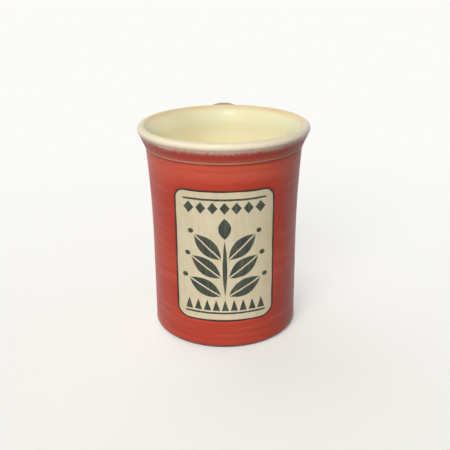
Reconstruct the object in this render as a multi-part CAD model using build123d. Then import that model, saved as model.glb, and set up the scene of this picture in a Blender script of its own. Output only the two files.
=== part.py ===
from build123d import *
import os
from math import atan2, cos, hypot, pi, radians, sin

# A hand-thrown stoneware mug: a cup with a flared, rounded lip over a fine ridge, a pulled strap handle
# luted on at the back, a cream liner glaze, a red outer glaze, and a slip-painted panel on the front.
# Millimetres. +Z is up, the origin is the centre of the foot on the table, the panel faces -Y
# and the handle stands out towards +Y.

# Cup, over the glaze
cup_height = 105.0
body_diameter = 72.4       # of the upright wall
wall_opening = 2.5         # how far the ridge stands out over the upright wall
lip_overhang = 3.3         # how far the lip stands out over the ridge
ridge_drop = 10.0          # from the top of the lip down to the ridge
ridge_step = 0.4           # how far the ridge stands out over the wall under it
straight_height = 45.0     # the wall is upright to here, and opens above it
lip_roundness = 2.2        # radius of the lip
collar_lean = 22.0         # degrees off upright where the collar leaves the ridge

# Cup, bare clay
wall_thickness = 4.0
floor_thickness = 6.0      # table to the bare floor inside
floor_corner = 9.0         # radius where the floor meets the wall inside
foot_corner = 3.2          # radius where the wall turns under
foot_ring_width = 7.0
foot_recess = 1.5          # depth turned out of the underside
foot_bevel = 1.2           # how far the recess wall leans inwards

# Glaze
glaze_thickness = 0.4
glaze_stop_angle = 50.0    # degrees round the foot corner where the red glaze ends
liner_overlap = 3.8        # how far the liner glaze reaches down outside the lip

# Handle, bare clay
handle_width = 18.0        # across the strap at the upper joint
handle_depth = 8.8         # through the strap at the upper joint
handle_taper = 0.84        # size of the strap at the lower joint against the upper joint
handle_reach = 33.5        # from the upright wall to the middle of the strap where it stands out most
upper_joint_drop = 4.6     # from the ridge down to the middle of the upper joint
upper_joint_slope = 0.6    # rise of the strap for each millimetre outwards at the upper joint
upper_pull = 24.0          # how far the strap holds that direction before it bends over the crest
knuckle_drop = 18.0        # from the upper joint down to where the strap stands out most
shoulder_pull = 28.0       # how far the strap holds upright above that point
tail_pull = 18.0           # how far it holds upright below that point
lower_pull = 20.0          # how far it bends ahead of the direction that it meets the cup in
lower_joint_slope = 0.35   # rise of the strap for each millimetre outwards at the lower joint
lower_joint_height = 30.0
handle_sections = 15

# Luting slip between the strap's ends and the cup
luting_thickness = 0.7
luting_margin = 0.9        # how far the slip is pressed out round the strap

# Panel on the front, seen straight on
panel_width = 45.2
panel_bottom = 15.9
panel_drop = 13.8          # from the ridge down to the panel
panel_upper_corner = 4.2   # radius of the two corners at its head
panel_lower_corner = 5.2   # radius of the two corners at its foot
panel_line = 0.75          # width of the dark line round it
panel_slip = 0.25          # thickness of the panel's slip
paint_clearance = 0.15     # hair gap between the panel and the dark slip painted on it
paint_thickness = 0.2      # thickness of the dark slip

# Painted bands, one along each end of the panel
band_margin = 3.2          # from the panel's edge to the band
rule_width = 1.0           # width of a band's ruled line
band_gap = 0.8             # bare gap between neighbours in a band
band_height = 5.8          # height of a band's lozenges or teeth
lozenge_count = 7
tooth_count = 9

# Painted sprig between the bands
sprig_margin = 2.0         # from a band to the sprig
stem_width = 2.2           # at its middle
stem_gap = 0.7             # bare gap between the stem and what grows from it
leaf_pairs = 3
leaf_length = 17.5
leaf_width = 8.0
leaf_vein = 0.7            # bare gap along the middle of a leaf
leaf_angle = 30.0          # degrees above level of the lowest pair
leaf_angle_step = 7.0      # how much steeper each pair is than the one below
bud_length = 10.5
bud_width = 6.0
berry_radius = 1.2
berry_gap = 1.0            # from a leaf's tip to its berry

# Worked out from the sizes above
wall_radius = body_diameter / 2 - glaze_thickness
ridge_radius = wall_radius + wall_opening
neck_radius = ridge_radius - ridge_step
ridge_height = cup_height - ridge_drop
lip_centre = (ridge_radius + glaze_thickness + lip_overhang - lip_roundness, cup_height - lip_roundness)
bare_lip = lip_roundness - glaze_thickness
foot_centre = (wall_radius - foot_corner, foot_corner)
wall_lean = 2 * atan2(neck_radius - wall_radius, ridge_height - straight_height)
joint_bury = wall_thickness / 2
upper_joint_height = ridge_height - upper_joint_drop
panel_top = ridge_height - panel_drop
lower_band = panel_bottom + band_margin
upper_band = panel_top - band_margin
band_length = panel_width - 2 * band_margin
stem_foot = lower_band + rule_width + band_gap + band_height + sprig_margin
bud_tip = upper_band - rule_width - band_gap - band_height - sprig_margin
stem_head = bud_tip - bud_length - stem_gap
leaf_pitch = (stem_head - stem_foot) / leaf_pairs
far = body_diameter        # well clear of the cup


def polar(centre, radius, angle):
    """Point at a distance and an angle, in radians, from a centre."""
    return (centre[0] + radius * cos(angle), centre[1] + radius * sin(angle))


def arc_about(centre, radius, start_angle, end_angle):
    """Arc about a centre between two angles, in radians."""
    angles = (start_angle, (start_angle + end_angle) / 2, end_angle)
    return ThreePointArc(*[polar(centre, radius, angle) for angle in angles])


def flare(start, lean, lip_radius, side):
    """Arc that leaves a point at a lean off upright and runs smoothly into the round lip.

    side is 1 outside the cup, where arc and lip curve opposite ways, and -1 inside, where they curve alike.
    Returns the arc and the angle about the lip's centre where the two meet.
    """
    normal = (cos(lean), -sin(lean))
    away = (start[0] - lip_centre[0], start[1] - lip_centre[1])
    along = away[0] * normal[0] + away[1] * normal[1]
    radius = (away[0] ** 2 + away[1] ** 2 - lip_radius ** 2) / (2 * (side * lip_radius - along))
    centre = (start[0] + radius * normal[0], start[1] + radius * normal[1])
    lip_angle = atan2(side * (centre[1] - lip_centre[1]), side * (centre[0] - lip_centre[0]))
    end = polar(lip_centre, lip_radius, lip_angle)
    start_angle = atan2(start[1] - centre[1], start[0] - centre[0]) % (2 * pi)
    end_angle = atan2(end[1] - centre[1], end[0] - centre[0]) % (2 * pi)
    return arc_about(centre, radius, start_angle, end_angle), lip_angle


def floor_to_foot(skin):
    """Section from the middle of the floor, up the inside, over the lip and down to the foot corner.

    skin is the thickness of a coat over the bare clay.
    """
    bore = wall_radius - wall_thickness - skin
    throat = neck_radius - wall_thickness - skin
    floor = floor_thickness + skin
    corner = floor_corner - skin
    lip = bare_lip + skin
    wall = wall_radius + skin
    ridge = ridge_radius + skin
    neck = neck_radius + skin
    neck_height = ridge_height - ridge_step
    inner_flare, lip_in = flare((throat, ridge_height), wall_lean, lip, -1)
    outer_flare, lip_out = flare((ridge, ridge_height), radians(collar_lean), lip, 1)
    return [
        Line((0, floor), (bore - corner, floor)),
        arc_about((bore - corner, floor + corner), corner, -pi / 2, 0),
        Line((bore, floor + corner), (bore, straight_height)),
        TangentArc((bore, straight_height), (throat, ridge_height), tangent=(0, 1)),
        inner_flare,
        arc_about(lip_centre, lip, lip_in, lip_out),
        outer_flare,
        Line((ridge, ridge_height), (neck, neck_height)),
        TangentArc((wall, straight_height), (neck, neck_height), tangent=(0, 1)),
        Line((wall, straight_height), (wall, foot_corner)),
    ]


def section_face(edges):
    """Face in the XZ plane from edges drawn as radius and height."""
    return Plane.XZ * make_face(edges)


def clay_section():
    """The bare cup: floor, wall, lip, rounded foot corner and turned foot ring."""
    ring_outer = foot_centre[0]
    ring_inner = ring_outer - foot_ring_width
    underside = Polyline(
        (ring_outer, 0),
        (ring_inner, 0),
        (ring_inner - foot_bevel, foot_recess),
        (0, foot_recess),
        (0, floor_thickness),
    )
    corner = arc_about(foot_centre, foot_corner, 0, -pi / 2)
    return section_face([*floor_to_foot(0), corner, underside])


def coated_section(skin):
    """The cup under a coat that ends on the foot corner, filled in to its axis above the foot."""
    stop = radians(-glaze_stop_angle)
    reach = foot_corner + skin
    corner = arc_about(foot_centre, reach, 0, stop)
    closing = Polyline(
        polar(foot_centre, reach, stop),
        foot_centre,
        (0, foot_corner),
        (0, floor_thickness + skin),
    )
    return section_face([*floor_to_foot(skin), corner, closing])


def outside_of_wall():
    """Everything in the section plane beyond the middle of the wall and below the liner glaze's edge."""
    half = wall_thickness / 2
    liner_edge = cup_height - liner_overlap
    return section_face([Polyline(
        (wall_radius - half, 0),
        (far, 0),
        (far, liner_edge),
        (lip_centre[0], liner_edge),
        (neck_radius - half, ridge_height),
        (wall_radius - half, straight_height),
        close=True,
    )])


def turned(face):
    """Full turn of a section face about the cup's axis."""
    return revolve(face, axis=Axis.Z)


def outer_coat(under, over):
    """A coat on the outside of the cup, between the section under it and the section over it."""
    return turned((over - under) & outside_of_wall())


def wall_at(height):
    """Radius of the bare wall, which is upright at first and then opens towards the ridge."""
    opened = max(height - straight_height, 0) / (ridge_height - straight_height)
    return wall_radius + (neck_radius - wall_radius) * opened ** 2


def strap_end(height, slope):
    """Middle of an end of the strap, buried so that the strap meets the wall's face at a height."""
    return (0, wall_at(height) - joint_bury, height - joint_bury * slope)


def ahead(point, outwards, upwards):
    """A point of the strap's middle line, moved outwards and upwards."""
    return (0, point[1] + outwards, point[2] + upwards)


def strap_path():
    """The strap's middle line, from the upper joint over the crest and down to the lower joint."""
    upper_end = strap_end(upper_joint_height, upper_joint_slope)
    knuckle = (0, wall_radius + handle_reach, upper_joint_height - knuckle_drop)
    lower_end = strap_end(lower_joint_height, lower_joint_slope)
    over = Bezier(
        upper_end,
        ahead(upper_end, upper_pull, upper_pull * upper_joint_slope),
        ahead(knuckle, 0, shoulder_pull),
        knuckle,
    )
    under = Bezier(
        knuckle,
        ahead(knuckle, 0, -tail_pull),
        ahead(lower_end, lower_pull, lower_pull * lower_joint_slope),
        lower_end,
    )
    return Wire([over, under])


def strap_oval(size, slope, grow):
    """Section of the strap by a plane that it crosses at a slope, grown by a margin."""
    return Ellipse(handle_width / 2 * size + grow, handle_depth / 2 * size * hypot(1, slope) + grow)


def strap(grow):
    """The strap along its whole path, grown by a margin all round, before its ends are trimmed to the cup.

    Its end sections stand upright, like the wall that they are buried in, and the others square to the path.
    """
    path = strap_path()
    last = handle_sections - 1
    directions = [(0, 1, 0), *[path % (step / last) for step in range(1, last)], (0, -1, 0)]
    slopes = [upper_joint_slope, *[0] * (last - 1), lower_joint_slope]
    sections = []
    for step in range(handle_sections):
        along = step / last
        size = 1 - (1 - handle_taper) * along
        plane = Plane(path @ along, x_dir=(1, 0, 0), z_dir=directions[step])
        sections.append(plane * strap_oval(size, slopes[step], grow))
    return loft(sections)


def joint_plug(height, size, slope):
    """Level plug through the back wall, the size of the strap's end and the slip pressed out round it."""
    return extrude(Plane.XZ * Pos(0, height) * strap_oval(size, slope, luting_margin), amount=-far)


def through_front(face):
    """A flat shape drawn in X and Z, carried forwards through the front wall."""
    return extrude(Plane.XZ * face, amount=far)


def panel_shape(grow):
    """The panel's rounded rectangle, grown by a margin all round."""
    height = panel_top - panel_bottom + 2 * grow
    middle = (panel_top + panel_bottom) / 2
    sharp = Pos(0, middle) * Rectangle(panel_width + 2 * grow, height)
    round_headed = fillet(sharp.vertices().group_by(Axis.Y)[-1], panel_upper_corner + grow)
    return fillet(round_headed.vertices().group_by(Axis.Y)[0], panel_lower_corner + grow)


def leaf_shape(length, width):
    """Pointed leaf along +X from its root at the origin, between two arcs."""
    upper = ThreePointArc((0, 0), (length / 2, width / 2), (length, 0))
    lower = ThreePointArc((length, 0), (length / 2, -width / 2), (0, 0))
    return make_face([upper, lower])


def leaf_places():
    """Root and angle of every leaf, pair by pair up the stem."""
    places = []
    for pair in range(leaf_pairs):
        angle = leaf_angle + pair * leaf_angle_step
        root = stem_width / 2 + stem_gap
        height = stem_foot + pair * leaf_pitch
        places.append(((root, height), angle))
        places.append(((-root, height), 180 - angle))
    return places


def leaf_faces():
    """Every leaf, with a bare gap along its vein."""
    vein = Pos(leaf_length / 2, 0) * Rectangle(leaf_length, leaf_vein)
    split_leaf = leaf_shape(leaf_length, leaf_width) - vein
    return [Pos(*root) * Rot(0, 0, angle) * split_leaf for root, angle in leaf_places()]


def berry_faces():
    """A berry beyond the tip of every leaf."""
    reach = leaf_length + berry_gap + berry_radius
    middles = [polar(root, reach, radians(angle)) for root, angle in leaf_places()]
    return [Pos(*middle) * Circle(berry_radius) for middle in middles]


def stem_faces():
    """The stem, one brush stroke that swells in its middle, and the bud over it."""
    upright = Rot(0, 0, 90)
    stem = Pos(0, stem_foot) * upright * leaf_shape(stem_head - stem_foot, stem_width)
    bud = Pos(0, stem_head + stem_gap) * upright * leaf_shape(bud_length, bud_width)
    return [stem, bud]


def row_places(count):
    """Middles of an even row along a band."""
    pitch = band_length / count
    return [(place + 0.5) * pitch - band_length / 2 for place in range(count)]


def lozenge_faces():
    """The band at the head of the panel: a ruled line over a row of lozenges."""
    half = (band_length / lozenge_count - band_gap) / 2
    middle = upper_band - rule_width - band_gap - band_height / 2
    outline = Polyline((-half, 0), (0, -band_height / 2), (half, 0), (0, band_height / 2), close=True)
    lozenge = make_face(outline)
    rule = Pos(0, upper_band - rule_width / 2) * SlotOverall(band_length, rule_width)
    return [rule, *[Pos(place, middle) * lozenge for place in row_places(lozenge_count)]]


def tooth_faces():
    """The band at the foot of the panel: a row of teeth over a ruled line."""
    half = (band_length / tooth_count - band_gap) / 2
    base = lower_band + rule_width + band_gap
    tooth = make_face(Polyline((-half, 0), (half, 0), (0, band_height), close=True))
    rule = Pos(0, lower_band + rule_width / 2) * SlotOverall(band_length, rule_width)
    return [rule, *[Pos(place, base) * tooth for place in row_places(tooth_count)]]


def painted(faces):
    """Flat shapes laid on the panel as strokes of dark slip."""
    strokes = [paint_coat & through_front(face) for face in faces]
    return Compound([solid for stroke in strokes for solid in stroke.solids()])


# Sections of the bare cup and of each thickness of coat
clay = clay_section()
glazed = coated_section(glaze_thickness)
slipped = coated_section(panel_slip)
lifted = coated_section(panel_slip + paint_clearance)
brushed = coated_section(panel_slip + paint_clearance + paint_thickness)
luted = coated_section(luting_thickness)

# Coats before they are cut to each other
glaze_coat = outer_coat(clay, glazed)
slip_coat = outer_coat(clay, slipped)
paint_coat = outer_coat(lifted, brushed)
luting_coat = outer_coat(clay, luted)

# What cuts them
cup_and_luting = turned(luted)
upper_plug = joint_plug(upper_joint_height, 1, upper_joint_slope)
lower_plug = joint_plug(lower_joint_height, handle_taper, lower_joint_slope)
panel_and_line = through_front(panel_shape(panel_line))
panel_only = through_front(panel_shape(0))
strap_clay = strap(0)
strap_glazed = strap(glaze_thickness)

nodes = {
    "thrown_cup": turned(clay),
    "strap_handle": strap_clay - cup_and_luting,
    "upper_luting_slip": luting_coat & upper_plug,
    "lower_luting_slip": luting_coat & lower_plug,
    "liner_glaze": turned(glazed - clay - outside_of_wall()),
    "outer_glaze": glaze_coat - panel_and_line - upper_plug - lower_plug,
    "handle_glaze": strap_glazed - strap_clay - cup_and_luting,
    "panel_ground": slip_coat & panel_only,
    "panel_outline": (slip_coat & panel_and_line) - panel_only,
    "sprig_stem": painted(stem_faces()),
    "sprig_leaves": painted(leaf_faces()),
    "sprig_berries": painted(berry_faces()),
    "lozenge_band": painted(lozenge_faces()),
    "tooth_band": painted(tooth_faces()),
}

os.makedirs("parts", exist_ok=True)
for name, shape in nodes.items():
    export_step(shape, f"parts/{name}.step")
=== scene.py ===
from math import atan2, cos, hypot, pi, radians, sin, sqrt

import bmesh
import bpy
import numpy as np
from mathutils import Euler, Matrix, Vector


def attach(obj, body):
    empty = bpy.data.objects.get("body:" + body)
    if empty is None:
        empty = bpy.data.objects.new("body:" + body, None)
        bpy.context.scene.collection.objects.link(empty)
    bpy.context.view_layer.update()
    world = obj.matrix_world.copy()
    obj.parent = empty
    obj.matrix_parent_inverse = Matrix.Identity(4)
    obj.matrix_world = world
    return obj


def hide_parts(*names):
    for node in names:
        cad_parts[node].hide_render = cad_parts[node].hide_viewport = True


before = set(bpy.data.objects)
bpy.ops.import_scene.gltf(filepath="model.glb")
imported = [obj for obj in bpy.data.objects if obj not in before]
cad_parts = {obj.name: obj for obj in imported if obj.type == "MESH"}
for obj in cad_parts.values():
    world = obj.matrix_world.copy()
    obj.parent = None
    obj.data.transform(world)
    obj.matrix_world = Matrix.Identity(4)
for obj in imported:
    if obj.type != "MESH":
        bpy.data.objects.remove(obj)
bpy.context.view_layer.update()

# Thrown cup.
# The bare pot, one piece of buff stoneware thrown on the wheel: floor, wall, flared collar and rounded lip.
# Its foot was turned when leather hard and is left unglazed, so the clay shows only underneath.
MM = 0.001
cup_height = 105.0
lip_roundness = 2.2
wall_radius = 35.8             # this and the sizes below are of the bare clay
ridge_radius = 38.3
neck_radius = 37.9
ridge_height = 95.0
straight_height = 45.0
collar_lean = radians(22)
wall_thickness = 4.0
floor_thickness = 6.0
floor_corner = 9.0
foot_corner = 3.2
foot_ring_width = 7.0
foot_recess = 1.5
foot_bevel = 1.2
glaze_thickness = 0.4
rings_fade = (96.0, 100.0)     # heights between which the throwing rings fade out below the lip
lip_centre = (39.8, cup_height - lip_roundness)
foot_centre = (wall_radius - foot_corner, foot_corner)
wall_lean = 2 * atan2(neck_radius - wall_radius, ridge_height - straight_height)


def linear(hex_colour):
    """Linear RGBA of an sRGB hex colour."""
    channels = [int(hex_colour[at:at + 2], 16) / 255 for at in (1, 3, 5)]
    return (*[c / 12.92 if c <= 0.04045 else ((c + 0.055) / 1.055) ** 2.4 for c in channels], 1.0)


def add(tree, kind, sockets=(), **settings):
    """Adds a node with its settings, and its inputs by name or place: values, sockets or other nodes."""
    made = tree.nodes.new(kind)
    for name, value in settings.items():
        setattr(made, name, value)
    for place, value in sockets.items() if isinstance(sockets, dict) else enumerate(sockets):
        if isinstance(value, bpy.types.Node):
            value = next(output for output in value.outputs if output.enabled)
        if isinstance(value, bpy.types.NodeSocket):
            tree.links.new(value, made.inputs[place])
        else:
            made.inputs[place].default_value = value
    return made


def new_material(name):
    """An empty node material, its tree and its Object coordinates."""
    material = bpy.data.materials.new(name)
    material.use_nodes = True
    tree = material.node_tree
    tree.nodes.clear()
    return material, tree, add(tree, "ShaderNodeTexCoord").outputs["Object"]


def layered(tree, base, *layers):
    """A colour under layers: what each goes by, where it starts and is full, its cover and its colour."""
    covered = linear(base)
    for measure, start, full, cover, colour in layers:
        share = add(tree, "ShaderNodeMapRange", [measure, start, full, 0.0, cover])
        colour = linear(colour) if isinstance(colour, str) else colour
        covered = add(tree, "ShaderNodeMix", {0: share, 6: covered, 7: colour}, data_type="RGBA")
    return covered


def end_material(tree, colour, roughness, relief, strength, depth, ior=1.5):
    """Ends a material: a surface of a colour and a roughness, under a relief of a depth in millimetres."""
    bump = add(tree, "ShaderNodeBump", {"Height": relief, "Strength": strength, "Distance": depth * MM})
    shader = add(tree, "ShaderNodeBsdfPrincipled", {
        "Base Color": colour, "Roughness": roughness, "IOR": ior, "Normal": bump,
    })
    add(tree, "ShaderNodeOutputMaterial", [shader])


def arc(centre, radius, start, end, step):
    """Points along an arc about a centre between two angles, about a step apart."""
    count = max(int(abs(end - start) * radius / step), 2)
    angles = np.linspace(start, end, count + 1)
    return np.stack([centre[0] + radius * np.cos(angles), centre[1] + radius * np.sin(angles)], axis=1)


def line(start, end, step):
    """Points along a straight stretch, about a step apart."""
    count = max(int(hypot(end[0] - start[0], end[1] - start[1]) / step), 1)
    return np.linspace(start, end, count + 1)


def opening(start, end, step):
    """Arc that leaves a point upright and ends in another."""
    across, up = end[0] - start[0], end[1] - start[1]
    radius = (across ** 2 + up ** 2) / (2 * across)
    return arc((start[0] + radius, start[1]), radius, pi, pi - 2 * atan2(across, up), step)


def flare(start, lean, lip, side, step):
    """Arc from a point at a lean off upright into the round lip, and the lip angle where they meet."""
    normal = (cos(lean), -sin(lean))
    away = (start[0] - lip_centre[0], start[1] - lip_centre[1])
    along = away[0] * normal[0] + away[1] * normal[1]
    radius = (away[0] ** 2 + away[1] ** 2 - lip ** 2) / (2 * (side * lip - along))
    centre = (start[0] + radius * normal[0], start[1] + radius * normal[1])
    meet = atan2(side * (centre[1] - lip_centre[1]), side * (centre[0] - lip_centre[0]))
    end = (lip_centre[0] + lip * cos(meet), lip_centre[1] + lip * sin(meet))
    first = atan2(start[1] - centre[1], start[0] - centre[0]) % (2 * pi)
    last = atan2(end[1] - centre[1], end[0] - centre[0]) % (2 * pi)
    return arc(centre, radius, first, last, step), meet


def inside_and_lip(skin, step):
    """Section from the middle of the floor up the inside and over the lip, under a coat of some thickness."""
    bore = wall_radius - wall_thickness - skin
    throat = (neck_radius - wall_thickness - skin, ridge_height)
    floor = floor_thickness + skin
    corner = floor_corner - skin
    lip = lip_roundness - glaze_thickness + skin
    inner, lip_in = flare(throat, wall_lean, lip, -1, step)
    lip_out = flare((ridge_radius + skin, ridge_height), collar_lean, lip, 1, step)[1]
    return np.concatenate([
        line((0, floor), (bore - corner, floor), 2 * step),
        arc((bore - corner, floor + corner), corner, -pi / 2, 0, step),
        line((bore, floor + corner), (bore, straight_height), 2 * step),
        opening((bore, straight_height), throat, 2 * step),
        inner,
        arc(lip_centre, lip, lip_in, lip_out, step / 4),
    ])


def outside(skin, step, stop):
    """Section from the lip down the outside to an angle of the foot corner, under a coat of a thickness."""
    wall = wall_radius + skin
    neck = (neck_radius + skin, ridge_height - (ridge_radius - neck_radius))
    ridge = (ridge_radius + skin, ridge_height)
    outer = flare(ridge, collar_lean, lip_roundness - glaze_thickness + skin, 1, step)[0]
    return np.concatenate([
        outer[::-1],
        line(ridge, neck, step / 2),
        opening((wall, straight_height), neck, step)[::-1],
        line((wall, straight_height), (wall, foot_corner), step),
        arc(foot_centre, foot_corner + skin, 0, stop, step / 2),
    ])


def without_repeats(section):
    """The section with points that fall on the one before them left out."""
    apart = np.hypot(*np.diff(section, axis=0).T) > 1e-4
    return section[np.concatenate([[True], apart])]


def new_tree(name, sizes):
    """An empty Geometry Nodes tree and its named inputs."""
    tree = bpy.data.node_groups.new(name, "GeometryNodeTree")
    tree.interface.new_socket("Geometry", in_out="OUTPUT", socket_type="NodeSocketGeometry")
    for size, kind in {"Geometry": "NodeSocketGeometry", **sizes, "Material": "NodeSocketMaterial"}.items():
        tree.interface.new_socket(size, in_out="INPUT", socket_type=kind)
    return tree, add(tree, "NodeGroupInput").outputs


def wrapped_sheet(tree, size_in):
    """A sheet with a row for each starting point, and the turn from 0 to 1 and the row of its corners."""
    rows = add(tree, "GeometryNodeAttributeDomainSize", {"Geometry": size_in["Geometry"]})
    columns = add(tree, "ShaderNodeMath", [size_in["Turn steps"], 1.0], operation="ADD")
    sheet = add(tree, "GeometryNodeMeshGrid", {"Vertices X": columns, "Vertices Y": rows})
    cell = add(tree, "GeometryNodeInputPosition")
    cell = add(tree, "ShaderNodeVectorMath", [cell, (0.5, 0.5, 0)], operation="ADD")
    turn, row, _ = add(tree, "ShaderNodeSeparateXYZ", [cell]).outputs
    last_row = add(tree, "ShaderNodeMath", [rows, 1.0], operation="SUBTRACT")
    row = add(tree, "ShaderNodeMath", [row, last_row], operation="MULTIPLY")
    return sheet, turn, add(tree, "ShaderNodeMath", [row], operation="ROUND")


def end_tree(tree, size_in, shape, merge):
    """Ends a tree: merges corners that meet, makes instances real and sets the material."""
    shape = add(tree, "GeometryNodeMergeByDistance", {"Geometry": shape, "Distance": merge * MM})
    shape = add(tree, "GeometryNodeRealizeInstances", {"Geometry": shape})
    shape = add(tree, "GeometryNodeSetMaterial", {"Geometry": shape, "Material": size_in["Material"]})
    add(tree, "NodeGroupOutput", [shape])


# Geometry Nodes tree: turns a section, given as a row of points, about the cup's axis,
# with the spiral throwing rings that a potter's fingers leave.
turning, size_in = new_tree("turned on the wheel", {
    "Turn steps": "NodeSocketInt",
    "Ring height": "NodeSocketFloat",
    "Ring pitch": "NodeSocketFloat",
})
sheet, turn, row = wrapped_sheet(turning, size_in)
point = add(turning, "GeometryNodeSampleIndex", {
    "Geometry": size_in["Geometry"], "Value": add(turning, "GeometryNodeInputPosition"), "Index": row,
}, data_type="FLOAT_VECTOR")
radius, _, height = add(turning, "ShaderNodeSeparateXYZ", [point]).outputs
angle = add(turning, "ShaderNodeMath", [turn, 2 * pi], operation="MULTIPLY")
rings = add(turning, "ShaderNodeMath", [height, size_in["Ring pitch"]], operation="DIVIDE")
rings = add(turning, "ShaderNodeMath", [rings, 2 * pi, angle], operation="MULTIPLY_ADD")
rings = add(turning, "ShaderNodeMath", [rings], operation="SINE")
rings = add(turning, "ShaderNodeMath", [rings, size_in["Ring height"]], operation="MULTIPLY")
outer = add(turning, "ShaderNodeMapRange", [radius, 0.0, wall_radius * MM / 2])
below_lip = add(turning, "ShaderNodeMapRange", [height, rings_fade[0] * MM, rings_fade[1] * MM, 1.0, 0.0])
fade = add(turning, "ShaderNodeMath", [outer, below_lip], operation="MULTIPLY")
reach = add(turning, "ShaderNodeMath", [rings, fade, radius], operation="MULTIPLY_ADD")
front = add(turning, "ShaderNodeMath", [reach, -1.0], operation="MULTIPLY")
spot = add(turning, "ShaderNodeCombineXYZ", [0.0, front, height])
spot = add(turning, "ShaderNodeVectorRotate", {"Vector": spot, "Angle": angle}, rotation_type="Z_AXIS")
pot = add(turning, "GeometryNodeSetPosition", {"Geometry": sheet, "Position": spot})
end_tree(turning, size_in, pot, merge=0.01)


def placed(name, points, faces=()):
    """A new mesh object of the scene, from points in metres."""
    mesh = bpy.data.meshes.new(name)
    mesh.from_pydata(points, [], faces)
    piece = bpy.data.objects.new(name, mesh)
    bpy.context.scene.collection.objects.link(piece)
    return piece


def grown(piece, tree, sizes):
    """The piece as the plain mesh that a tree makes from its points."""
    modifier = piece.modifiers.new(tree.name, "NODES")
    modifier.node_group = tree
    for socket in tree.interface.items_tree:
        if socket.in_out == "INPUT" and socket.name in sizes:
            modifier[socket.identifier] = sizes[socket.name]
    return settled(piece)


def settled(piece):
    """The piece with its modifiers turned into plain mesh, smooth shaded."""
    view = bpy.context.evaluated_depsgraph_get()
    piece.data = bpy.data.meshes.new_from_object(piece.evaluated_get(view), depsgraph=view)
    piece.data.name = piece.name
    piece.modifiers.clear()
    return smoothed(piece)


def smoothed(piece):
    """The piece shaded smooth, but for the sharp rims of its coats."""
    piece.data.shade_smooth()
    piece.data.set_sharp_from_angle(angle=radians(60))
    return piece


def outwards(piece):
    """The piece with all its faces turned outwards."""
    shell = bmesh.new()
    shell.from_mesh(piece.data)
    bmesh.ops.remove_doubles(shell, verts=shell.verts, dist=0.005 * MM)
    bmesh.ops.recalc_face_normals(shell, faces=shell.faces)
    shell.to_mesh(piece.data)
    shell.free()
    return smoothed(piece)


def turned(name, section, steps, ring_height, ring_pitch, material):
    """A piece turned on the wheel from a section in millimetres."""
    points = placed(name, [(radius * MM, 0, height * MM) for radius, height in without_repeats(section)])
    return grown(points, turning, {
        "Turn steps": steps,
        "Ring height": ring_height * MM,
        "Ring pitch": ring_pitch * MM,
        "Material": material,
    })


# Bare buff stoneware, turned with a metal tool: matt and gritty, with fine rings of the tool and iron specks.
stoneware, tree, coords = new_material("bare buff stoneware")
grit = add(tree, "ShaderNodeTexNoise", {"Vector": coords, "Scale": 1 / (0.8 * MM), "Detail": 4.0})
cloud = add(tree, "ShaderNodeTexNoise", {"Vector": coords, "Scale": 1 / (14 * MM), "Detail": 3.0})
specks = add(tree, "ShaderNodeTexVoronoi", {"Vector": coords, "Scale": 1 / (3.2 * MM)})
clay = layered(tree, "#A98C6C", (cloud, 0, 1, 1, "#C3A988"), (specks, 0.16, 0.10, 1, "#6E4D35"))
radial = add(tree, "ShaderNodeVectorMath", [coords, (1, 1, 0)], operation="MULTIPLY")
radial = add(tree, "ShaderNodeVectorMath", [radial], operation="LENGTH")
tool = add(tree, "ShaderNodeMath", [radial, 2 * pi / (0.9 * MM)], operation="MULTIPLY")
tool = add(tree, "ShaderNodeMath", [tool], operation="SINE")
relief = add(tree, "ShaderNodeMath", [tool, 0.35, grit], operation="MULTIPLY_ADD")
end_material(tree, clay, roughness=0.88, relief=relief, strength=0.5, depth=0.12)

ring_outer = foot_centre[0]
ring_inner = ring_outer - foot_ring_width
underside = np.concatenate([
    line((ring_outer, 0), (ring_inner, 0), step=1.0),
    line((ring_inner, 0), (ring_inner - foot_bevel, foot_recess), step=0.5),
    line((ring_inner - foot_bevel, foot_recess), (0, foot_recess), step=1.0),
])
bare_section = np.concatenate([inside_and_lip(0, step=1.2), outside(0, step=1.2, stop=-pi / 2), underside])
cup = turned("thrown_cup_clay", bare_section, steps=144, ring_height=0.0, ring_pitch=3.0, material=stoneware)
outwards(cup)
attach(cup, "root")
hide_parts("thrown_cup")

# Strap handle and its luting slip.
# A strap of the same clay, pulled by hand and bent over, its ends stuck to the back of the cup with
# liquid clay that is pressed out round them. Both lie wholly under the red glaze.

# Luting slip, the cup's own clay let down with water and dried: matt, a little paler, finely crackled.
luting, tree, coords = new_material("dried luting slip")
crack = add(tree, "ShaderNodeTexVoronoi", {
    "Vector": coords, "Scale": 1 / (1.6 * MM),
}, feature="DISTANCE_TO_EDGE")
crack = add(tree, "ShaderNodeMapRange", [crack, 0.0, 0.08])
slip = layered(tree, "#8F7658", (crack, 0, 1, 1, "#C9B291"))
end_material(tree, slip, roughness=0.9, relief=crack, strength=0.4, depth=0.1)

for node, body in (("strap_handle", stoneware), ("upper_luting_slip", luting), ("lower_luting_slip", luting)):
    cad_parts[node].data.materials.clear()
    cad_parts[node].data.materials.append(body)

# Panel ground.
# A rounded rectangle of pale slip, brushed on the front of the leather-hard cup.
# It is matt beside the glaze and lies a little under it.
panel_width = 45.2
panel_bottom = 15.9
panel_top = 81.2
panel_upper_corner = 4.2
panel_lower_corner = 5.2
panel_line = 0.75
panel_slip = 0.25
ground_overlap = 0.3           # the ground runs this far under the dark line
sheet_cell = 1.0               # it is laid on as a sheet of such cells and cut to the border
sheet_reach = 24.0
sheet_margin = 2.0
panel_middle = (panel_top + panel_bottom) / 2


def wall_at(height):
    """Radius of the bare wall, upright at first and then opening towards the ridge."""
    opened = max(height - straight_height, 0) / (ridge_height - straight_height)
    return wall_radius + (neck_radius - wall_radius) * opened ** 2


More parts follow.
